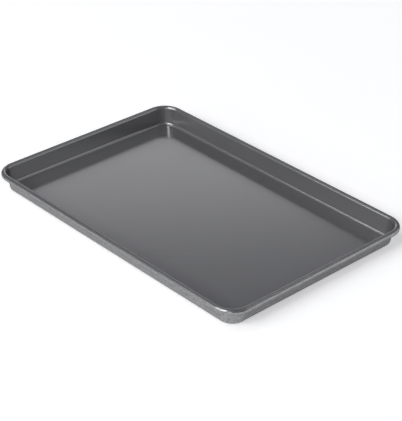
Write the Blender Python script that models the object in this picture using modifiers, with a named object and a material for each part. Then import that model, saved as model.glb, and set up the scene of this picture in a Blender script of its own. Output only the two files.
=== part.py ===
"""Cookie sheet: a pressed steel tray whose rim is rolled round a loop of wire.

Lengths are in metres and +Z is up. The origin is in the middle of the
underside, +X runs along the tray's length and +Y along its width.
"""
import math

import bmesh
import bpy

# Driving dimensions
LENGTH = 0.43815               # over the rim, along X
WIDTH = 0.2921                 # over the rim, along Y
HEIGHT = 0.0254                # from the underside to the top of the rim
SHEET = 0.0008                 # thickness of the coated sheet
WALL_DRAFT = math.radians(10)  # how far the walls lean outwards
FLOOR_FILLET = 0.0037          # inside radius between the floor and a wall
FLOOR_CORNER = 0.0137          # plan radius of the flat floor's corners
WIRE_DIAMETER = 0.0053         # the wire inside the rolled rim
WIRE_CLEARANCE = 0.0003        # between the wire and the sheet around it
LIP_GAP = 0.0006               # between the rolled sheet's free edge and the wall
BUTT_GAP = 0.001               # between the two ends of the wire

# How finely the round parts are cut
CORNER_STEPS = 10             # steps round each corner of the tray
FILLET_STEPS = 6              # steps from the floor into the wall
ROLL_STEPS = 6                # steps in each quarter of the roll
WIRE_BEVEL_RESOLUTION = 4     # gives the wire 12 sides

SHARP_ANGLE = math.radians(35)
MERGE_DISTANCE = 0.00001

# The middle of the sheet is what gets modelled; Solidify adds half a
# thickness on each side of it.
HALF_SHEET = SHEET / 2
FILLET_RADIUS = FLOOR_FILLET + HALF_SHEET
ROLL_RADIUS = WIRE_DIAMETER / 2 + WIRE_CLEARANCE + HALF_SHEET
ROLL_OUTSIDE = ROLL_RADIUS + HALF_SHEET
WIRE_HEIGHT = HEIGHT - ROLL_OUTSIDE

# Distances outwards from the upright axis that a corner is turned round
WALL_FOOT = FLOOR_CORNER + FILLET_RADIUS * math.cos(WALL_DRAFT)
WALL_FOOT_HEIGHT = HALF_SHEET + FILLET_RADIUS * (1 - math.sin(WALL_DRAFT))
WALL_TOP_HEIGHT = WIRE_HEIGHT + ROLL_RADIUS * math.sin(WALL_DRAFT)
WALL_TOP = WALL_FOOT + (WALL_TOP_HEIGHT - WALL_FOOT_HEIGHT) * math.tan(WALL_DRAFT)
WIRE_REACH = WALL_TOP + ROLL_RADIUS * math.cos(WALL_DRAFT)
RIM_CORNER = WIRE_REACH + ROLL_OUTSIDE

# Where the four corner axes stand
AXIS_X = LENGTH / 2 - RIM_CORNER
AXIS_Y = WIDTH / 2 - RIM_CORNER


def clear_scene():
    for obj in list(bpy.data.objects):
        bpy.data.objects.remove(obj, do_unlink=True)


def finish(name, colour, metallic, roughness):
    material = bpy.data.materials.new(name)
    material.use_nodes = True
    shader = material.node_tree.nodes["Principled BSDF"]
    shader.inputs["Base Color"].default_value = (*colour, 1.0)
    shader.inputs["Metallic"].default_value = metallic
    shader.inputs["Roughness"].default_value = roughness
    return material


def arc(centre, radius, start, end, steps):
    """Points on an arc, from the start angle to the end angle."""
    angles = [start + (end - start) * step / steps for step in range(steps + 1)]
    return [(centre[0] + radius * math.cos(angle), centre[1] + radius * math.sin(angle))
            for angle in angles]


def lip_angle():
    """Angle on the roll at which the sheet ends, LIP_GAP away from the wall."""
    room = ROLL_RADIUS - HALF_SHEET - LIP_GAP
    return -math.acos(-room / ROLL_OUTSIDE) - WALL_DRAFT


def section():
    """The middle of the sheet in one upright cut: floor, wall, roll and lip.

    Each point is a distance outwards from the corner's axis and a height.
    """
    quarter = math.pi / 2
    fillet_centre = (FLOOR_CORNER, HALF_SHEET + FILLET_RADIUS)
    roll_centre = (WIRE_REACH, WIRE_HEIGHT)
    points = [(0.0, HALF_SHEET)]
    points += arc(fillet_centre, FILLET_RADIUS, -quarter, -WALL_DRAFT, FILLET_STEPS)
    stops = (math.pi - WALL_DRAFT, quarter, 0.0, -quarter, lip_angle())
    for start, end in zip(stops, stops[1:]):
        steps = max(1, round(ROLL_STEPS * (start - end) / quarter))
        stretch = arc(roll_centre, ROLL_RADIUS, start, end, steps)
        points += stretch if start == stops[0] else stretch[1:]
    return points


def extend(bm, edges, vector):
    """Draw a row of edges out along a straight line."""
    drawn = bmesh.ops.extrude_edge_only(bm, edges=edges)["geom"]
    moved = [item for item in drawn if isinstance(item, bmesh.types.BMVert)]
    bmesh.ops.translate(bm, verts=moved, vec=vector)


def inner_edge(bm):
    """The floor's edge from the corner's axis to the middle of the length."""
    return [edge for edge in bm.edges
            if all(abs(vert.co.x - AXIS_X) < MERGE_DISTANCE
                   and vert.co.y < AXIS_Y + MERGE_DISTANCE for vert in edge.verts)]


def quarter_of_sheet():
    """One corner of the tray with half of the two walls that meet in it."""
    bm = bmesh.new()
    row = [bm.verts.new((AXIS_X + out, AXIS_Y, height)) for out, height in section()]
    first = [bm.edges.new(pair) for pair in zip(row, row[1:])]
    turned = bmesh.ops.spin(bm, geom=row + first, cent=(AXIS_X, AXIS_Y, 0.0),
                            axis=(0.0, 0.0, 1.0), angle=math.pi / 2, steps=CORNER_STEPS)
    last = [item for item in turned["geom_last"] if isinstance(item, bmesh.types.BMEdge)]
    extend(bm, first, (0.0, -AXIS_Y, 0.0))
    extend(bm, last, (-AXIS_X, 0.0, 0.0))
    extend(bm, inner_edge(bm), (-AXIS_X, 0.0, 0.0))
    bmesh.ops.remove_doubles(bm, verts=bm.verts, dist=MERGE_DISTANCE)
    bmesh.ops.recalc_face_normals(bm, faces=bm.faces)
    mesh = bpy.data.meshes.new("pan_shell")
    bm.to_mesh(mesh)
    bm.free()
    return mesh


def make_pan_shell(collection, coating):
    """The pressed sheet: a quarter of it, mirrored twice and given its thickness."""
    mesh = quarter_of_sheet()
    mesh.shade_smooth()
    mesh.set_sharp_from_angle(angle=SHARP_ANGLE)
    mesh.materials.append(coating)
    shell = bpy.data.objects.new("pan_shell", mesh)
    mirror = shell.modifiers.new("Other three quarters", "MIRROR")
    mirror.use_axis = (True, True, False)
    mirror.merge_threshold = MERGE_DISTANCE
    sheet = shell.modifiers.new("Sheet", "SOLIDIFY")
    sheet.thickness = SHEET
    sheet.offset = 0.0
    sheet.use_even_offset = True
    collection.objects.link(shell)
    return shell


def wire_route():
    """The wire's middle line, once round the rim from one butt end to the other."""
    near_side = -AXIS_Y - WIRE_REACH
    points = [(BUTT_GAP / 2, near_side)]
    corners = ((AXIS_X, -AXIS_Y), (AXIS_X, AXIS_Y), (-AXIS_X, AXIS_Y), (-AXIS_X, -AXIS_Y))
    for turn, centre in enumerate(corners):
        start = math.pi / 2 * (turn - 1)
        points += arc(centre, WIRE_REACH, start, start + math.pi / 2, CORNER_STEPS)
    return points + [(-BUTT_GAP / 2, near_side)]


def make_rim_wire(collection, steel):
    """The round wire that the rim is rolled round, bent to its outline."""
    curve = bpy.data.curves.new("rim_wire", "CURVE")
    curve.dimensions = "3D"
    curve.bevel_depth = WIRE_DIAMETER / 2
    curve.bevel_resolution = WIRE_BEVEL_RESOLUTION
    curve.use_fill_caps = True
    curve.materials.append(steel)
    route = wire_route()
    spline = curve.splines.new("POLY")
    spline.points.add(len(route) - 1)
    for point, (x, y) in zip(spline.points, route):
        point.co = (x, y, 0.0, 1.0)
    wire = bpy.data.objects.new("rim_wire", curve)
    wire.location.z = WIRE_HEIGHT
    collection.objects.link(wire)
    return wire


def main():
    clear_scene()
    collection = bpy.data.collections.new("cookie_sheet")
    bpy.context.scene.collection.children.link(collection)
    coating = finish("non_stick_coating", (0.20, 0.205, 0.215), 0.9, 0.35)
    steel = finish("plain_steel_wire", (0.52, 0.52, 0.53), 1.0, 0.4)
    tray = bpy.data.objects.new("cookie_sheet", None)
    collection.objects.link(tray)
    for piece in (make_pan_shell(collection, coating), make_rim_wire(collection, steel)):
        piece.parent = tray


main()
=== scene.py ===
# %% [markdown]
# A cookie sheet is one sheet of steel, pressed into a shallow tray. Its edge is rolled outwards round a
# steel wire, which keeps the tray from warping in the oven, and it is coated all over with a dark grey
# non-stick film. The measured solids come in as a fixed frame, and this scene builds the finished surface
# over them.

# %% Load the measured tray
import math

import bmesh
import bpy
from mathutils import Matrix, Vector


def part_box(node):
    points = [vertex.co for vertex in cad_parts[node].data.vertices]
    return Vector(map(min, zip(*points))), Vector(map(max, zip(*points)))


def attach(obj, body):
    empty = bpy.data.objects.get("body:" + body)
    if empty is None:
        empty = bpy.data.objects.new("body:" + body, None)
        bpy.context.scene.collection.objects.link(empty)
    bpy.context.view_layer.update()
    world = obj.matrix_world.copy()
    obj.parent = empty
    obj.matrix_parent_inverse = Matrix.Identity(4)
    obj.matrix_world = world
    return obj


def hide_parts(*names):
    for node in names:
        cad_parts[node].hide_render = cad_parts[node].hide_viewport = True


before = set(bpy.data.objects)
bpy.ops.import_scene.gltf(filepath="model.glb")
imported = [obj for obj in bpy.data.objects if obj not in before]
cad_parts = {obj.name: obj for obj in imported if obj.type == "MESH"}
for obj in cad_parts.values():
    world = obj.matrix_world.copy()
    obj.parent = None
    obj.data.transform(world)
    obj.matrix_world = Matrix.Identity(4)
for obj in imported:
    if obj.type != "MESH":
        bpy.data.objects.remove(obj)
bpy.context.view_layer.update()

wire_low, wire_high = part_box("rim_wire")

# %% [markdown]
# The camera comes first, so that every later picture can be laid beside the photograph. It could be placed
# by eye, but a tray of the real size was matched to the outline in the photograph instead, which gave the
# direction, the distance and the lens. It looks across the corner between the front long side, at -Y, and
# the right short side, at +X, and down by 30 degrees.

# %% Place the camera
CAMERA_TURN = math.radians(47.298)     # round the upright axis, from looking along +Y
CAMERA_TILT = math.radians(30.535)     # below the horizon
CAMERA_ROLL = math.radians(0.617)
CAMERA_DISTANCE = 1.8332
ORIGIN_RIGHT = -0.00759                # where the tray's origin lies, right of and above the middle
ORIGIN_UP = -0.00383
PICTURE_HEIGHT = 421
FOCAL_PIXELS = 1488.5

forward = Vector((-math.sin(CAMERA_TURN) * math.cos(CAMERA_TILT),
                  math.cos(CAMERA_TURN) * math.cos(CAMERA_TILT), -math.sin(CAMERA_TILT)))
level_right = Vector((math.cos(CAMERA_TURN), math.sin(CAMERA_TURN), 0.0))
level_up = level_right.cross(forward)
right = math.cos(CAMERA_ROLL) * level_right + math.sin(CAMERA_ROLL) * level_up
up = math.cos(CAMERA_ROLL) * level_up - math.sin(CAMERA_ROLL) * level_right
eye = -ORIGIN_RIGHT * right - ORIGIN_UP * up - CAMERA_DISTANCE * forward

bpy.ops.object.camera_add(location=eye)
camera = bpy.context.object
camera.name = "photo_camera"
camera.rotation_euler = Matrix((right, up, -forward)).transposed().to_euler()
# The picture is taller than it is wide, so the sensor's width is laid along its height.
camera.data.lens = FOCAL_PIXELS / PICTURE_HEIGHT * camera.data.sensor_width
bpy.context.scene.camera = camera
print("camera at", [round(value, 3) for value in eye], "lens", round(camera.data.lens, 1), "mm")

# %% [markdown]
# The tray has the same section all the way round, so the section is worth getting right. A box could be
# pushed into shape, but its radii would only be near the real ones. So the middle of the sheet is worked
# out here, in an upright plane that starts at the axis of a corner: a flat floor, a fillet, a wall that
# leans out by 10 degrees, and the roll round the wire. All of it follows from the measured wire and the
# sizes in this cell.

# %% Work out the section
LENGTH = 0.43815                       # over the rim
WIDTH = 0.2921                         # over the rim
SHEET = 0.0008                         # thickness, with the coating
WIRE_CLEARANCE = 0.0003                # between the wire and the sheet round it
WALL_DRAFT = math.radians(10)          # how far the walls lean out
FLOOR_FILLET = 0.0037                  # inside radius between the floor and a wall
FLOOR_CORNER = 0.0137                  # radius of the flat floor's corners, seen from above

half_sheet = SHEET / 2
wire_radius = (wire_high.z - wire_low.z) / 2
wire_height = (wire_high.z + wire_low.z) / 2
roll_radius = wire_radius + WIRE_CLEARANCE + half_sheet
fillet_radius = FLOOR_FILLET + half_sheet
fillet_height = half_sheet + fillet_radius

wall_foot = FLOOR_CORNER + fillet_radius * math.cos(WALL_DRAFT)
wall_foot_height = fillet_height - fillet_radius * math.sin(WALL_DRAFT)
wall_top_height = wire_height + roll_radius * math.sin(WALL_DRAFT)
wall_top = wall_foot + (wall_top_height - wall_foot_height) * math.tan(WALL_DRAFT)
wire_reach = wall_top + roll_radius * math.cos(WALL_DRAFT)
rim_corner = wire_reach + roll_radius + half_sheet

axis_x = LENGTH / 2 - rim_corner
axis_y = WIDTH / 2 - rim_corner

# %% [markdown]
# Edit-mode tools act on whatever is selected. By hand you would click on points; here a helper first
# clears the selection and then picks the points or edges by where they are, which gives the same result
# every time.

# %% Selection helpers
NEAR = 0.00002                         # how close counts as being there


def start_fresh():
    if bpy.context.object and bpy.context.object.mode != "OBJECT":
        bpy.ops.object.mode_set(mode="OBJECT")
    bpy.ops.object.select_all(action="DESELECT")


def at(value, target):
    return abs(value - target) < NEAR


def pick(obj, test, mode="VERT"):
    """Select what passes the test on its place; in edge mode, both ends have to."""
    bpy.ops.mesh.select_mode(type=mode)
    bpy.ops.mesh.select_all(action="DESELECT")
    shape = bmesh.from_edit_mesh(obj.data)
    items = shape.verts if mode == "VERT" else shape.edges
    for item in items:
        ends = [item] if mode == "VERT" else item.verts
        item.select_set(all(test(end.co) for end in ends))
    bmesh.update_edit_mesh(obj.data)
    return sum(item.select for item in items)


# %% [markdown]
# The roll could be drawn as a curve, but a circle primitive already has its points on an exact arc. With
# 72 points they are 5 degrees apart, so one falls on the very top, one on the outermost edge and one where
# the leaning wall touches the roll. The stretch between the wall and the free edge is deleted, which
# leaves the narrow slot that such a rim has between its free edge and the wall.

# %% Start with the roll
ROLL_POINTS = 72
LIP_ANGLE = math.radians(225)          # where the free edge of the sheet ends
SMALL_TURN = math.radians(1)           # keeps the points at both ends of the cut
wall_angle = math.pi - WALL_DRAFT


def roll_angle(point):
    turn = math.atan2(point.z - wire_height, point.x - axis_x - wire_reach)
    return turn % (2 * math.pi)


start_fresh()
bpy.ops.mesh.primitive_circle_add(vertices=ROLL_POINTS, radius=roll_radius, fill_type="NOTHING",
                                  location=(axis_x + wire_reach, axis_y, wire_height),
                                  rotation=(math.pi / 2, 0, 0))
tray = bpy.context.object
tray.name = "coated_tray"
bpy.ops.object.transform_apply(location=True, rotation=True, scale=True)
bpy.ops.object.mode_set(mode="EDIT")
cut = pick(tray, lambda co: wall_angle + SMALL_TURN < roll_angle(co) < LIP_ANGLE - SMALL_TURN)
bpy.ops.mesh.delete(type="VERT")
print("points cut from the roll:", cut)

# %% [markdown]
# The wall is one straight extrusion down from the roll. The fillet is then the wall's foot, spun about the
# fillet's own centre until it lies level, and the floor is one more extrusion, in to the corner's axis. A
# bevel on a sharp crease would give the fillet too, but the spin puts its centre and radius just where
# they belong.

# %% Draw the wall, the fillet and the floor
FILLET_STEPS = 18
pick(tray, lambda co: at(co.x, axis_x + wall_top) and at(co.z, wall_top_height))
bpy.ops.mesh.extrude_vertices_move(
    TRANSFORM_OT_translate={"value": (wall_foot - wall_top, 0, wall_foot_height - wall_top_height)})
bpy.ops.mesh.spin(steps=FILLET_STEPS, angle=WALL_DRAFT - math.pi / 2, axis=(0, 1, 0),
                  center=(axis_x + FLOOR_CORNER, axis_y, fillet_height))
bpy.ops.mesh.extrude_vertices_move(TRANSFORM_OT_translate={"value": (-FLOOR_CORNER, 0, 0)})
shape = bmesh.from_edit_mesh(tray.data)

# %% [markdown]
# A pressed corner keeps the section of the walls on its way round, so the whole section is spun a quarter
# turn about the corner's upright axis. A curve with this section as its profile could do it too, but the
# spin needs nothing more than the axis.

# %% Turn the corner
CORNER_STEPS = 30
bpy.ops.mesh.select_mode(type="EDGE")
bpy.ops.mesh.select_all(action="SELECT")
bpy.ops.mesh.spin(steps=CORNER_STEPS, angle=-math.pi / 2, axis=(0, 0, 1), center=(axis_x, axis_y, 0))
shape = bmesh.from_edit_mesh(tray.data)

# %% [markdown]
# The corner's two end rows are drawn out straight to the middle of the tray, which makes half of the long
# and half of the short wall. One last edge is drawn across to close the floor, and the points that now lie
# on one another are merged.

# %% Draw out the walls
pick(tray, lambda co: at(co.x, axis_x) and co.y > axis_y - NEAR, mode="EDGE")
bpy.ops.mesh.extrude_region_move(TRANSFORM_OT_translate={"value": (-axis_x, 0, 0)})
pick(tray, lambda co: at(co.y, axis_y) and co.x > axis_x - NEAR, mode="EDGE")
bpy.ops.mesh.extrude_region_move(TRANSFORM_OT_translate={"value": (0, -axis_y, 0)})
pick(tray, lambda co: at(co.x, axis_x) and co.y < axis_y + NEAR, mode="EDGE")
bpy.ops.mesh.extrude_region_move(TRANSFORM_OT_translate={"value": (-axis_x, 0, 0)})
bpy.ops.mesh.select_all(action="SELECT")
bpy.ops.mesh.remove_doubles(threshold=NEAR / 2)
bpy.ops.mesh.normals_make_consistent(inside=False)
bpy.ops.object.mode_set(mode="OBJECT")
print("faces in a quarter of the tray:", len(tray.data.polygons))

# %% [markdown]
# The other three quarters could be modelled too, but they are mirror images. Only then does the surface
# get its thickness, half on each side, so that the inner and outer radii come out as they do in a bent
# sheet. The free edge of a coated sheet is never knife-sharp, so its two corners get a tiny bevel.

# %% Mirror it and give it its thickness
EDGE_ROUNDING = 0.00012
EDGE_STEPS = 2
BEVEL_FROM = math.radians(60)          # only the free edge's corners are sharper than this
SMOOTH_UP_TO = math.radians(30)


def add_modifier(obj, name, kind, **values):
    modifier = obj.modifiers.new(name, kind)
    for key, value in values.items():
        setattr(modifier, key, value)
    bpy.ops.object.modifier_apply(modifier=name)


add_modifier(tray, "Other quarters", "MIRROR", use_axis=(True, True, False), merge_threshold=NEAR / 2)
add_modifier(tray, "Sheet", "SOLIDIFY", thickness=SHEET, offset=0.0, use_even_offset=True)
add_modifier(tray, "Soft cut edge", "BEVEL", width=EDGE_ROUNDING, segments=EDGE_STEPS,
             limit_method="ANGLE", angle_limit=BEVEL_FROM)
bpy.ops.object.shade_smooth_by_angle(angle=SMOOTH_UP_TO)
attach(tray, "root")
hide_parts("pan_shell")
print("tray faces:", len(tray.data.polygons))

# %% [markdown]
# The wire is bent from one length, so its middle line is a rectangle with round corners. That could be
# typed in as points, but a plane with its four corners beveled has just that outline once its face is
# deleted.

# %% Bend the wire
WIRE_CORNER_STEPS = 24
wire_half_length = axis_x + wire_reach
wire_half_width = axis_y + wire_reach

start_fresh()
bpy.ops.mesh.primitive_plane_add(size=2, location=(0, 0, wire_height))
wire = bpy.context.object
wire.name = "stiffening_wire"
wire.scale = (wire_half_length, wire_half_width, 1)
bpy.ops.object.transform_apply(location=True, rotation=True, scale=True)
bpy.ops.object.mode_set(mode="EDIT")
bpy.ops.mesh.select_all(action="SELECT")
bpy.ops.mesh.bevel(offset=wire_reach, offset_type="OFFSET", segments=WIRE_CORNER_STEPS, affect="VERTICES")
bpy.ops.mesh.delete(type="ONLY_FACE")
print("points along the wire:", len(bmesh.from_edit_mesh(wire.data).verts))

# %% [markdown]
# The wire's two ends butt together in the middle of the front side, and a real joint never quite closes.
# The straight stretch is divided in three, its two new points are moved in to where the ends are, and the
# short piece that is left between them is deleted.

# %% Open the joint between its ends
BUTT_GAP = 0.001
cut_place = axis_x / 3                 # where dividing the straight stretch in three puts its points

pick(wire, lambda co: at(co.y, -wire_half_width), mode="EDGE")
bpy.ops.mesh.subdivide(number_cuts=2)
for side in (1, -1):
    pick(wire, lambda co: at(co.y, -wire_half_width) and at(co.x, side * cut_place))
    bpy.ops.transform.translate(value=(side * (BUTT_GAP / 2 - cut_place), 0, 0))
opened = pick(wire, lambda co: at(co.y, -wire_half_width) and abs(co.x) < BUTT_GAP, mode="EDGE")
bpy.ops.mesh.delete(type="EDGE")
bpy.ops.object.mode_set(mode="OBJECT")
print("edges opened:", opened)

# %% [markdown]
# A circle could be swept along the line by hand, but a curve does it with its own round bevel and closes
# the cut ends with flat caps. As a mesh again, it keeps the UV map that the curve gave it, which runs
# along the wire one way and round it the other.

# %% Give the wire its thickness
WIRE_ROUNDNESS = 6                     # makes 16 sides
WIRE_SMOOTH_UP_TO = math.radians(40)

bpy.ops.object.convert(target="CURVE")
wire.data.bevel_depth = wire_radius
wire.data.bevel_resolution = WIRE_ROUNDNESS
wire.data.use_fill_caps = True
bpy.ops.object.convert(target="MESH")
bpy.ops.object.mode_set(mode="EDIT")
bpy.ops.mesh.select_all(action="SELECT")
bpy.ops.mesh.remove_doubles(threshold=NEAR / 2)
bpy.ops.mesh.normals_make_consistent(inside=False)
bpy.ops.object.mode_set(mode="OBJECT")
bpy.ops.object.shade_smooth_by_angle(angle=WIRE_SMOOTH_UP_TO)
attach(wire, "root")
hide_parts("rim_wire")
print("wire faces:", len(wire.data.polygons))

# %% [markdown]
# Both finishes are made of the same few steps: a noise for the unevenness, and nodes that turn it into
# colours, gloss or small bumps. Image textures could do that too, but noise needs no file and never
# repeats. It rarely comes near 0 or 1, so the nodes can leave out a share of its range at either end.

# %% Helpers for the finishes
def new_material(name):
    material = bpy.data.materials.new(name)
    material.use_nodes = True
    return material, material.node_tree


def add_noise(tree, place, scale, detail):
    """Noise read at the given coordinates; the higher the scale, the finer it is."""
    noise = tree.nodes.new("ShaderNodeTexNoise")
    noise.inputs["Scale"].default_value = scale
    noise.inputs["Detail"].default_value = detail
    tree.links.new(place, noise.inputs["Vector"])
    return noise.outputs["Fac"]


def add_tones(tree, noise, dark, light, left_out):
    """Colours from dark to light, after leaving out a share of the noise at either end."""
    tones = tree.nodes.new("ShaderNodeValToRGB")
    low, high = tones.color_ramp.elements
    low.position = left_out
    low.color = dark
    high.position = 1 - left_out
    high.color = light
    tree.links.new(noise, tones.inputs["Fac"])
    return tones.outputs["Color"]


def add_range(tree, noise, low, high, left_out=0.0):
    """Values from low to high, after leaving out a share of the noise at either end."""
    spread = tree.nodes.new("ShaderNodeMapRange")
    spread.inputs["From Min"].default_value = left_out
    spread.inputs["From Max"].default_value = 1 - left_out
    spread.inputs["To Min"].default_value = low
    spread.inputs["To Max"].default_value = high
    tree.links.new(noise, spread.inputs["Value"])
    return spread.outputs["Result"]


def add_bump(tree, noise, strength, depth):
    bump = tree.nodes.new("ShaderNodeBump")
    bump.inputs["Strength"].default_value = strength
    bump.inputs["Distance"].default_value = depth
    tree.links.new(noise, bump.inputs["Height"])
    return bump.outputs["Normal"]


print("materials so far:", len(bpy.data.materials))

# %% [markdown]
# The coating is a dark grey film full of fine metal flakes. It shines like dull metal, so most of it is
# metallic, and the rest is the darker binder. One plain grey would look like plastic: seen close up the
# film is faintly speckled and has the ripple of a sprayed and baked coat. The metallic share stays just
# under three quarters, because above that the renderer's noise filter follows what the coating mirrors,
# and leaves a hatched grain on the walls.

# %% The non-stick coating
METALLIC_SHARE = 0.72
SHINE_TINT = (0.25, 0.25, 0.26, 1)     # dims the binder's shine, and the metal's at a flat angle
SPECKLE = (4000, 3)                    # scale and detail of a noise
DARK_FLAKES = (0.30, 0.30, 0.303, 1)
BRIGHT_FLAKES = (0.36, 0.36, 0.364, 1)
SPECKLE_LEFT_OUT = 0.35
FILM = (18, 2)
FILM_ROUGHNESS = (0.18, 0.21)
RIPPLE = (500, 1)
RIPPLE_HEIGHT = (0.02, 0.00004)        # strength and depth of a bump

coating, tree = new_material("dark_coating")
coat_shader = tree.nodes["Principled BSDF"]
coat_shader.inputs["Metallic"].default_value = METALLIC_SHARE
coat_shader.inputs["Specular Tint"].default_value = SHINE_TINT

place = tree.nodes.new("ShaderNodeTexCoord").outputs["Object"]
speckle = add_noise(tree, place, *SPECKLE)
flakes = add_tones(tree, speckle, DARK_FLAKES, BRIGHT_FLAKES, SPECKLE_LEFT_OUT)
gloss = add_range(tree, add_noise(tree, place, *FILM), *FILM_ROUGHNESS)
tree.links.new(gloss, coat_shader.inputs["Roughness"])
ripple = add_bump(tree, add_noise(tree, place, *RIPPLE), *RIPPLE_HEIGHT)
tree.links.new(ripple, coat_shader.inputs["Normal"])
tray.data.materials.clear()
tray.data.materials.append(coating)
print("material", coating.name, "on", tray.name)

# %% [markdown]
# Inside, the coat is sprayed on full and lies smooth. The outside gets a thinner, drier one, which looks
# faintly mottled. It could be a second material, but the change would then be a hard line round the rim.
# So each point stores how far outwards its normal leads, and that attribute lets the mottling in
# gradually.

# %% Mark the outside
# How far outwards a normal leads is its outward part times the point's distance from the middle.
OUTSIDE_FROM = 0.05                    # where the mottling begins
OUTSIDE_TO = 0.11                      # where it is full

outside = tray.data.attributes.new("outside", "FLOAT", "POINT")
for point, spot in zip(tray.data.vertices, outside.data):
    outwards = point.normal.x * point.co.x + point.normal.y * point.co.y
    spot.value = min(1.0, max(0.0, (outwards - OUTSIDE_FROM) / (OUTSIDE_TO - OUTSIDE_FROM)))
print("points outside:", sum(spot.value > 0.5 for spot in outside.data), "of", len(outside.data))

# %% [markdown]
# The mottling is one more noise, of patches of about 2 mm, by which the flakes' colour is multiplied.
# Painting it would need an image; the noise needs only a Mix node, which the attribute above turns on.

# %% The drier coat on the outside
MOTTLE = (550, 1)
MOTTLE_SHADES = (0.74, 1.26)
MOTTLE_LEFT_OUT = 0.3
MIX_FIRST, MIX_SECOND, MIX_RESULT = 6, 7, 2      # the Mix node's colour sockets, by their place

mottle = add_range(tree, add_noise(tree, place, *MOTTLE), *MOTTLE_SHADES, MOTTLE_LEFT_OUT)
mask = tree.nodes.new("ShaderNodeAttribute")
mask.attribute_name = outside.name
coat = tree.nodes.new("ShaderNodeMix")
coat.data_type = "RGBA"
coat.blend_type = "MULTIPLY"
tree.links.new(mask.outputs["Fac"], coat.inputs["Factor"])
tree.links.new(flakes, coat.inputs[MIX_FIRST])
tree.links.new(mottle, coat.inputs[MIX_SECOND])
tree.links.new(coat.outputs[MIX_RESULT], coat_shader.inputs["Base Color"])
print("nodes in the coating:", len(tree.nodes))

# %% [markdown]
# The wire is bare steel, pulled through a die, which leaves fine scratches along it. Noise on Object
# coordinates would streak two sides of the wire along and the other two across, so it reads the wire's own
# UV map. That map takes one step for every point of the middle line. A long straight stretch is a single
# step, so the noise is drawn out into streaks there, while in the bends, with their many short steps, it
# stays patchy. It shows in the tone, the gloss and the bump.

# %% The bare steel wire
STREAKS = (40, 6, 1)                   # along the wire and round it; the third isn't used
STREAK_NOISE = (1, 4)
DULL_STEEL = (0.38, 0.375, 0.37, 1)
BRIGHT_STEEL = (0.56, 0.56, 0.57, 1)
STREAK_LEFT_OUT = 0.3
STREAK_ROUGHNESS = (0.48, 0.28)
SCRATCHES = (0.4, 0.00003)             # strength and depth of the bump

steel, tree = new_material("drawn_steel")
wire_shader = tree.nodes["Principled BSDF"]
wire_shader.inputs["Metallic"].default_value = 1.0
squeeze = tree.nodes.new("ShaderNodeMapping")
squeeze.inputs["Scale"].default_value = STREAKS
tree.links.new(tree.nodes.new("ShaderNodeTexCoord").outputs["UV"], squeeze.inputs["Vector"])

streaks = add_noise(tree, squeeze.outputs["Vector"], *STREAK_NOISE)
finishes = {
    "Base Color": add_tones(tree, streaks, DULL_STEEL, BRIGHT_STEEL, STREAK_LEFT_OUT),
    "Roughness": add_range(tree, streaks, *STREAK_ROUGHNESS),
    "Normal": add_bump(tree, streaks, *SCRATCHES),
}
for socket, finish in finishes.items():
    tree.links.new(finish, wire_shader.inputs[socket])
wire.data.materials.clear()
wire.data.materials.append(steel)
print("material", steel.name, "on", wire.name, "by", wire.data.uv_layers.active.name)

# %% [markdown]
# The floor is a plain pale surface, far larger than the picture. Stronger lamps could make it white, but
# they would bleach the tray as well. So the lamps bring it only near white, and a small glow that only the
# camera, mirrors and glass see takes it the rest of the way. The tray's soft shadow stays.

# %% The floor
FLOOR_SIZE = 60.0
FLOOR_DROP = 0.0001                    # keeps the floor and the underside from sharing a plane

start_fresh()
bpy.ops.mesh.primitive_plane_add(size=FLOOR_SIZE, location=(0, 0, -FLOOR_DROP))
floor = bpy.context.object
floor.name = "studio_floor"

# %% [markdown]
# Light Path says what kind of ray has met the floor. Each of the three outputs used here is 0 or 1, so
# their largest is 1 if any of them is, and multiplied by the lift it is the glow's strength.

# %% The floor's pale finish
FLOOR_COLOUR = (0.95, 0.95, 0.95, 1)
FLOOR_LIFT = 0.414

pale, tree = new_material("pale_floor")
tree.nodes.remove(tree.nodes["Principled BSDF"])
matt = tree.nodes.new("ShaderNodeBsdfDiffuse")
matt.inputs["Color"].default_value = FLOOR_COLOUR
rays = tree.nodes.new("ShaderNodeLightPath")
seen = rays.outputs["Is Camera Ray"]
for kind in ("Is Glossy Ray", "Is Transmission Ray"):
    larger = tree.nodes.new("ShaderNodeMath")
    larger.operation = "MAXIMUM"
    tree.links.new(seen, larger.inputs[0])
    tree.links.new(rays.outputs[kind], larger.inputs[1])
    seen = larger.outputs["Value"]
lift = tree.nodes.new("ShaderNodeMath")
lift.operation = "MULTIPLY"
lift.inputs[1].default_value = FLOOR_LIFT
tree.links.new(seen, lift.inputs[0])
glow = tree.nodes.new("ShaderNodeEmission")
tree.links.new(lift.outputs["Value"], glow.inputs["Strength"])
both = tree.nodes.new("ShaderNodeAddShader")
tree.links.new(matt.outputs["BSDF"], both.inputs[0])
tree.links.new(glow.outputs["Emission"], both.inputs[1])
tree.links.new(both.outputs["Shader"], tree.nodes["Material Output"].inputs["Surface"])
floor.data.materials.append(pale)
print("material", pale.name, "on", floor.name)

# %% [markdown]
# A grey metallic coating has little colour of its own: it looks like whatever it mirrors. Walls could be
# built round the tray, but an even world does the same with one colour. Being dim and a little blue, it is
# what the darkest parts of the tray mirror.

# %% The room
ROOM_COLOUR = (0.85, 0.87, 1.0, 1)
ROOM_BRIGHTNESS = 0.146

world = bpy.data.worlds.new("soft_studio")
bpy.context.scene.world = world
world.use_nodes = True
background = world.node_tree.nodes["Background"]
background.inputs["Color"].default_value = ROOM_COLOUR
background.inputs["Strength"].default_value = ROOM_BRIGHTNESS
print("room brightness", ROOM_BRIGHTNESS)

# %% [markdown]
# The shapes on the metal come from softboxes. Glowing planes would show in the tray just as well, but area
# lamps make less noise. Each is given as the tray sees it: the compass turn and the tilt of its middle,
# the angles that it fills, and how bright its front looks. An area lamp's power for that brightness is pi
# times its area, whatever its distance is. They all stand on one dome round the tray.

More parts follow.
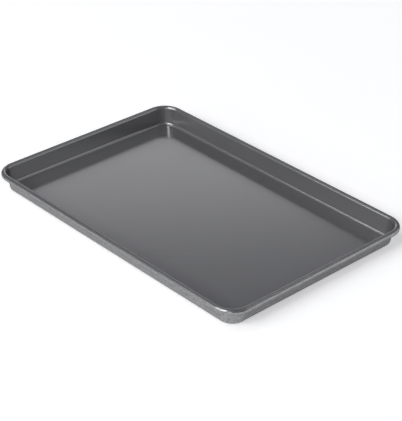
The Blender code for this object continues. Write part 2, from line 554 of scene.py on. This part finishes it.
# %% A softbox
STUDIO_RADIUS = 8.0


def softbox(name, turn, tilt, wide, tall, brightness):
    """A rectangular lamp that faces the tray; turn is from +X, and all four angles are in degrees."""
    turn, tilt = math.radians(turn), math.radians(tilt)
    towards = Vector((math.cos(turn) * math.cos(tilt), math.sin(turn) * math.cos(tilt), math.sin(tilt)))
    start_fresh()
    bpy.ops.object.light_add(type="AREA", location=towards * STUDIO_RADIUS)
    lamp = bpy.context.object
    lamp.name = name
    lamp.rotation_euler = towards.to_track_quat("Z", "Y").to_euler()
    lamp.data.shape = "RECTANGLE"
    lamp.data.size = 2 * STUDIO_RADIUS * math.tan(math.radians(wide / 2))
    lamp.data.size_y = 2 * STUDIO_RADIUS * math.tan(math.radians(tall / 2))
    lamp.data.energy = brightness * math.pi * lamp.data.size * lamp.data.size_y
    lamp.visible_camera = False
    print(name, round(lamp.data.size, 2), "x", round(lamp.data.size_y, 2), "m,",
          round(lamp.data.energy, 1), "W")


# %% [markdown]
# The back left lamp matters most: the flat of the tray mirrors it, most of all at the far end, and so do
# the creases. The key, the overhead and the high front lamp stand before the long side. They bring the
# floor near white, which the near walls mirror, and draw the light on the rim's near corner and the streak
# in the far corner. The two lamps at the back right draw the crease of the far short wall, and the three
# weak ones, low in front and at the front right, add a little to the rim and the near walls.

# %% Set up the softboxes
softbox("key_softbox", 258.8, 31.6, 48.1, 10.8, 7.23)
softbox("overhead_softbox", 245.6, 63.5, 44.6, 13.4, 3.08)
softbox("high_front_softbox", 279.9, 48.2, 11, 11.5, 9.33)
softbox("low_front_softbox", 253.4, 16.2, 39.7, 7.6, 1.37)
softbox("low_strip_softbox", 283, 9.9, 29.5, 9.8, 1.08)
softbox("front_right_softbox", 306.9, 20.5, 12.9, 25, 1.92)
softbox("back_left_softbox", 142.1, 20.2, 26.7, 20.5, 1.16)
softbox("back_right_softbox", 51.5, 12.9, 53.6, 19.7, 1.09)
softbox("high_back_softbox", 63.3, 51.5, 33, 8.7, 0.78)

# %% [markdown]
# The picture is shown with the plain Standard view, so that a colour comes out as it was written.

# %% Show the colours as written
bpy.context.scene.view_settings.view_transform = "Standard"
